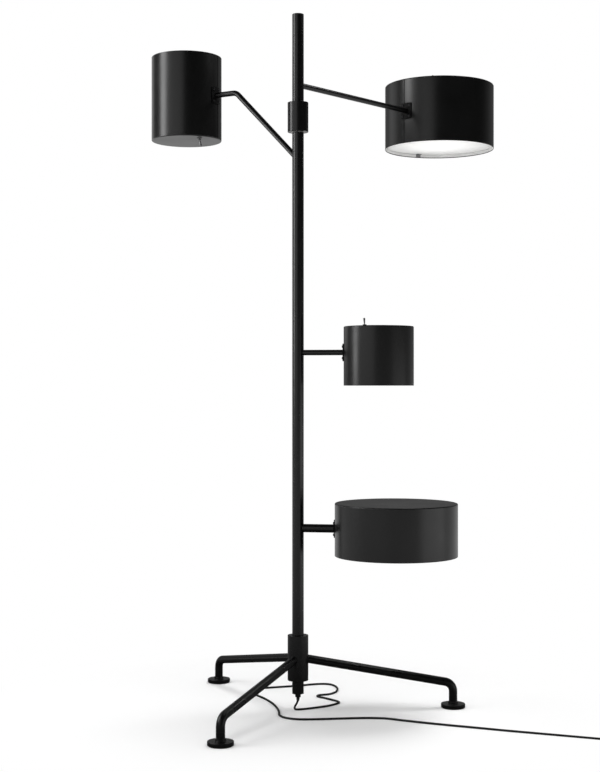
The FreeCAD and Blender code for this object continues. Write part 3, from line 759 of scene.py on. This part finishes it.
def makeCamera():
    data = bpy.data.cameras.new("camera")
    data.sensor_fit = "VERTICAL"
    data.sensor_height = cameraSet["sensor"]
    data.lens = cameraSet["sensor"] * cameraSet["focal"] / cameraSet["frameHeight"]
    camera = addObject("camera", data)
    turn = math.radians(cameraSet["heading"])
    ahead = Vector((math.sin(turn), math.cos(turn), 0))
    right = Vector((math.cos(turn), -math.sin(turn), 0))
    camera.location = right * cameraSet["aside"] - ahead * cameraSet["distance"]
    camera.location.z = cameraSet["height"]
    camera.rotation_euler = (math.radians(90), 0, -turn)
    bpy.context.scene.camera = camera


makeCamera()

# the drop gives x, y and the share of the exit's height; the lanes give each coil turn's distance
# outward and its height in coil lifts, and a turn moves to the next lane over its last quarter;
# the plug way gives how far along the plug from its back and how far above its middle
cordSet = {
    "diameter": 0.006, "rest": 0.0031, "exit": (0.0, 0.0, 0.034),
    "drop": [(0.0, 0.0, 1.0), (0.0, 0.0, 0.76), (-0.004, 0.001, 0.5), (-0.009, 0.003, 0.26)],
    "coilCentre": (0.823, -0.452), "coilRadius": 0.033, "turns": 5, "perTurn": 16,
    "entry": 66.0, "coilLift": 0.0058, "laneChange": 0.75,
    "lanes": [(0.0, 0.0), (-0.0058, 0.1), (0.0056, 0.15), (-0.0028, 1.0), (0.0032, 1.05),
              (0.0, 1.95)],
    "plugHeading": -60.0, "plugStandoff": 0.036, "plugMiddle": 0.007,
    "plugWay": [(-0.028, 0.0035), (-0.017, 0.0005), (-0.006, 0.0), (0.002, 0.0)],
}

# the cord's way over the floor, x and y in metres
floorRoute = [
    (-0.0105, -0.0050), (-0.0020, -0.0105), (0.0085, -0.0085), (0.0240, -0.0035),
    (0.0430, 0.0055), (0.0641, 0.0155), (0.0875, 0.0280), (0.1056, 0.0435), (0.1190, 0.0580),
    (0.1270, 0.0730), (0.1220, 0.0880), (0.1100, 0.1035), (0.0975, 0.1200), (0.0855, 0.1360),
    (0.0750, 0.1450), (0.0675, 0.1540), (0.0675, 0.1650), (0.0760, 0.1730), (0.0890, 0.1770),
    (0.1040, 0.1810), (0.1180, 0.1950), (0.1298, 0.2160), (0.1380, 0.2520), (0.1362, 0.2880),
    (0.1280, 0.3110), (0.1180, 0.3240), (0.1020, 0.3300), (0.0840, 0.3295), (0.0643, 0.3245),
    (0.0395, 0.3150), (0.0130, 0.3060), (-0.0209, 0.2980), (-0.0490, 0.2905), (-0.0800, 0.2840),
    (-0.1070, 0.2760), (-0.1250, 0.2590), (-0.1315, 0.2350), (-0.1260, 0.2080), (-0.1100, 0.1770),
    (-0.0935, 0.1430), (-0.0815, 0.1100), (-0.0710, 0.0760), (-0.0645, 0.0430), (-0.0595, 0.0110),
    (-0.0570, -0.0190), (-0.0565, -0.0470), (-0.0585, -0.0740), (-0.0495, -0.1015),
    (-0.0209, -0.1265), (0.0184, -0.1318), (0.0686, -0.1300), (0.1195, -0.1265),
    (0.1696, -0.1240), (0.2194, -0.1285), (0.2490, -0.1385), (0.2770, -0.1570), (0.3366, -0.1900),
    (0.4054, -0.2250), (0.4819, -0.2610), (0.5450, -0.2925), (0.6180, -0.3255), (0.6960, -0.3605),
    (0.7660, -0.3925), (0.8060, -0.4095), (0.8350, -0.4210),
]


def coilTurns():
    # clockwise turns laid beside and on top of one another, ending towards the plug
    centre = Vector((*cordSet["coilCentre"], 0))
    entry = math.radians(cordSet["entry"])
    leave = math.radians(cordSet["plugHeading"] + 90)
    swept = 2 * math.pi * cordSet["turns"] + entry - leave
    steps = int(cordSet["perTurn"] * swept / (2 * math.pi))
    lanes, change = cordSet["lanes"], cordSet["laneChange"]
    points = []
    for step in range(1, steps):
        share = step / steps * swept / (2 * math.pi)
        lane = min(int(share), len(lanes) - 2)
        blend = min(1.0, max(0.0, (share - lane - change) / (1 - change)))
        aside = lanes[lane][0] * (1 - blend) + lanes[lane + 1][0] * blend
        lift = lanes[lane][1] * (1 - blend) + lanes[lane + 1][1] * blend
        angle = entry - share * 2 * math.pi
        radius = cordSet["coilRadius"] + aside
        spot = centre + Vector((math.cos(angle), math.sin(angle), 0)) * radius
        points.append((spot.x, spot.y, cordSet["rest"] + lift * cordSet["coilLift"]))
    return points


def plugPlace():
    # at the plug's back, x along the plug
    aside = moved(cordSet["plugStandoff"], cordSet["coilRadius"], cordSet["plugMiddle"])
    return moved(*cordSet["coilCentre"]) @ spun("Z", cordSet["plugHeading"]) @ aside


def makeCord():
    top = cordSet["exit"][2]
    points = [(x, y, top * share) for x, y, share in cordSet["drop"]]
    points += [(x, y, cordSet["rest"]) for x, y in floorRoute]
    points += coilTurns()
    points += [tuple(plugPlace() @ Vector((along, 0, lift))) for along, lift in cordSet["plugWay"]]
    curve = bpy.data.curves.new("mainsCord", "CURVE")
    curve.dimensions = "3D"
    spline = curve.splines.new("NURBS")
    spline.points.add(len(points) - 1)
    for spot, place in zip(spline.points, points):
        spot.co = (*place, 1)
    spline.order_u = 3
    spline.use_endpoint_u = True
    spline.resolution_u = 8
    curve.bevel_depth = cordSet["diameter"] / 2
    curve.bevel_resolution = 5
    curve.use_fill_caps = True
    curve.materials.append(cordSheath)
    cord = addObject("mainsCord", curve)
    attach(cord, "stand")
    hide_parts("cord_run", "cord_coil")


# moulded two-pin plug with a tapering ribbed cuff and a waisted grip; each section has its place
# along the plug, half its width and height, and how square it is
plugSet = {
    "steps": 40,
    "sections": [
        (-0.0220, 0.0034, 0.0034, 2.0), (-0.0218, 0.0038, 0.0038, 2.0),
        (-0.0185, 0.0040, 0.0040, 2.0), (-0.0180, 0.0036, 0.0036, 2.0),
        (-0.0150, 0.0038, 0.0038, 2.0), (-0.0145, 0.0043, 0.0043, 2.0),
        (-0.0115, 0.0045, 0.0045, 2.0), (-0.0110, 0.0040, 0.0040, 2.0),
        (-0.0080, 0.0042, 0.0042, 2.0), (-0.0075, 0.0048, 0.0048, 2.0),
        (-0.0045, 0.0050, 0.0050, 2.0), (-0.0040, 0.0046, 0.0046, 2.0),
        (-0.0010, 0.0050, 0.0050, 2.0), (0.0000, 0.0064, 0.0056, 2.2),
        (0.0025, 0.0084, 0.0062, 2.5), (0.0070, 0.0104, 0.0067, 2.8),
        (0.0130, 0.0108, 0.0067, 3.0), (0.0200, 0.0098, 0.0063, 3.0),
        (0.0270, 0.0106, 0.0067, 3.2), (0.0330, 0.0117, 0.0069, 3.6),
        (0.0372, 0.0119, 0.0069, 4.0), (0.0378, 0.0115, 0.0066, 4.0),
        (0.0380, 0.0108, 0.0060, 4.0), (0.0380, 0.0002, 0.0002, 4.0),
    ],
}


def makePlug():
    steps = plugSet["steps"]
    points, faces = [], []
    for along, wide, high, power in plugSet["sections"]:
        for step in range(steps):
            angle = 2 * math.pi * step / steps
            across, rise = math.cos(angle), math.sin(angle)
            spot = Vector((along, math.copysign(abs(across) ** (2 / power), across) * wide,
                           math.copysign(abs(rise) ** (2 / power), rise) * high))
            points.append(plugPlace() @ spot)
    for row in range(len(plugSet["sections"]) - 1):
        for step in range(steps):
            after = (step + 1) % steps
            faces.append((row * steps + step, row * steps + after, (row + 1) * steps + after,
                          (row + 1) * steps + step))
    body = addMesh("plugBody", points, faces)
    body.data.materials.append(mouldedBlack)
    placed(body, "stand", "plug_plastic", "plug")
    return body


# two round pins: bare tips with a rounded end, and a plastic sleeve next to the plug
pinSet = {"radius": 0.002, "spacing": 0.018, "start": 0.0375, "sleeve": 0.010, "end": 0.057,
          "step": 0.0003, "edge": 0.0002, "sleeveWall": 0.0006, "round": 0.0012, "steps": 32}


def makePins():
    start, end, radius = pinSet["start"], pinSet["end"], pinSet["radius"]
    shoulder, edge, corner = start + pinSet["sleeve"], pinSet["edge"], pinSet["round"]
    tip = [(radius - pinSet["step"], shoulder), (radius, shoulder + edge), (radius, end - corner)]
    tip += arc((radius - corner, end - corner), corner, 15, 90, 5) + [(core, end)]
    sleeve = [(radius, start), (radius, shoulder - edge), (radius - edge, shoulder),
              (radius - pinSet["sleeveWall"], shoulder)]
    sides = [plugPlace() @ moved(y=side * pinSet["spacing"] / 2) @ spun("Y", 90)
             for side in (-1, 1)]
    for name, profile, material in (("pinTips", tip, nickel), ("pinSleeves", sleeve, mouldedBlack)):
        pins = turnedSet(name, profile, sides, pinSet["steps"])
        pins.data.materials.append(material)
        placed(pins, "stand", "plug_plastic", "plug")


plug = makePlug()
makePins()
makeCord()
print("cord and plug laid")

# the fade and what is mirrored change between two distances or directions, named first, from the
# third number to the fourth
studio = {
    "floorSize": 60.0, "floorColour": (0.86, 0.86, 0.86, 1.0), "floorRoughness": 0.9,
    "floorShine": 0.2, "floorGlow": 0.05, "fade": (0.35, 0.95, 0.0, 1.0),
    "floorMirrored": (0.5, 2.6, 0.06, 0.68), "roomMirrored": (-0.1, 0.75, 0.01, 0.18),
    "roomFill": 0.44,
}


def makeFloor():
    half = studio["floorSize"] / 2
    points = [(-half, -half, 0), (half, -half, 0), (half, half, 0), (-half, half, 0)]
    floor = addMesh("floor", points, [(0, 1, 2, 3)], smooth=False)
    material, tree, shader = newMaterial("paleFloor")
    shader.inputs["Base Color"].default_value = studio["floorColour"]
    shader.inputs["Roughness"].default_value = studio["floorRoughness"]
    shader.inputs["Specular IOR Level"].default_value = studio["floorShine"]
    distance = addNode(tree, "ShaderNodeVectorMath", operation="LENGTH")
    tree.links.new(objectPlace(tree), distance.inputs[0])
    away = distance.outputs["Value"]
    rays = addNode(tree, "ShaderNodeLightPath").outputs
    # the camera sees a floor that glows a little and fades into the white background
    glow = addNode(tree, "ShaderNodeEmission", Strength=studio["floorGlow"])
    lit = addNode(tree, "ShaderNodeAddShader")
    tree.links.new(shader.outputs[0], lit.inputs[0])
    tree.links.new(glow.outputs[0], lit.inputs[1])
    white = addNode(tree, "ShaderNodeEmission")
    fade = ramp(tree, away, studio["fade"], interpolation_type="SMOOTHSTEP")
    seen = blended(tree, fade, lit.outputs[0], white.outputs[0])
    final = blended(tree, rays["Is Camera Ray"], shader.outputs[0], seen)
    # the black coat mirrors a floor that is darker beside the lamp and paler far off
    shown = addNode(tree, "ShaderNodeEmission")
    tree.links.new(ramp(tree, away, studio["floorMirrored"]), shown.inputs["Strength"])
    mirrored = either(tree, rays["Is Glossy Ray"], rays["Is Transmission Ray"])
    whole = blended(tree, mirrored, final, shown.outputs[0])
    tree.links.new(whole, tree.nodes["Material Output"].inputs["Surface"])
    floor.data.materials.append(material)


def makeWorld():
    world = bpy.data.worlds.new("studio")
    world.use_nodes = True
    bpy.context.scene.world = world
    tree = world.node_tree
    tree.nodes.clear()
    rays = addNode(tree, "ShaderNodeLightPath").outputs
    direction = addNode(tree, "ShaderNodeTexCoord").outputs["Generated"]
    parts = addNode(tree, "ShaderNodeSeparateXYZ")
    tree.links.new(direction, parts.inputs[0])
    # the black coat mirrors a room that is bright behind the lamp and dark in front of it
    depth = ramp(tree, parts.outputs["Y"], studio["roomMirrored"],
                 interpolation_type="SMOOTHSTEP")
    clear = (1.0, 1.0, 1.0, 1.0)
    mirrored = addNode(tree, "ShaderNodeBackground", Color=clear)
    tree.links.new(depth, mirrored.inputs["Strength"])
    fill = addNode(tree, "ShaderNodeBackground", Color=clear, Strength=studio["roomFill"])
    white = addNode(tree, "ShaderNodeBackground", Color=clear, Strength=1.0)
    room = blended(tree, rays["Is Glossy Ray"], fill.outputs[0], mirrored.outputs[0])
    direct = either(tree, rays["Is Camera Ray"], rays["Is Transmission Ray"])
    seen = blended(tree, direct, room, white.outputs[0])
    output = addNode(tree, "ShaderNodeOutputWorld")
    tree.links.new(seen, output.inputs["Surface"])


# softboxes: place, width and height, watts, the point faced, and whether the coat mirrors it
softboxes = {
    "keyBox": {"place": (-2.3, -0.15, 1.95), "size": (0.75, 2.2), "power": 33.0,
               "aim": (0.0, 0.0, 1.0), "mirrored": True},
    "sideBox": {"place": (-2.34, -2.60, 2.1), "size": (3.4, 2.4), "power": 19.0,
                "aim": (0.0, 0.0, 1.0), "mirrored": True},
    "lowBox": {"place": (2.7, -1.27, 0.47), "size": (2.6, 0.9), "power": 6.5,
               "aim": (0.0, 0.0, 0.5), "mirrored": True},
    "topBox": {"place": (0.9, 0.5, 3.2), "size": (1.2, 1.2), "power": 58.0,
               "aim": (0.1, 0.0, 0.0), "mirrored": False},
    "slopeBox": {"place": (0.8, 0.15, 2.65), "size": (0.5, 0.5), "power": 4.0,
                 "aim": (-0.15, 0.1, 1.7), "mirrored": True},
    "rimBox": {"place": (-0.9, 1.25, 1.9), "size": (0.8, 1.6), "power": 2.4,
               "aim": (0.49, 0.48, 1.75), "mirrored": True},
}


def makeSoftbox(name):
    look = softboxes[name]
    data = bpy.data.lights.new(name, "AREA")
    data.shape = "RECTANGLE"
    data.size, data.size_y = look["size"]
    data.energy = look["power"]
    box = addObject(name, data)
    box.location = look["place"]
    ahead = Vector(look["aim"]) - Vector(look["place"])
    box.rotation_euler = ahead.to_track_quat("-Z", "Y").to_euler()
    box.visible_camera = False
    box.visible_glossy = look["mirrored"]


makeFloor()
makeWorld()
for boxName in softboxes:
    makeSoftbox(boxName)
bpy.context.scene.view_settings.view_transform = "Standard"
print("studio lit")
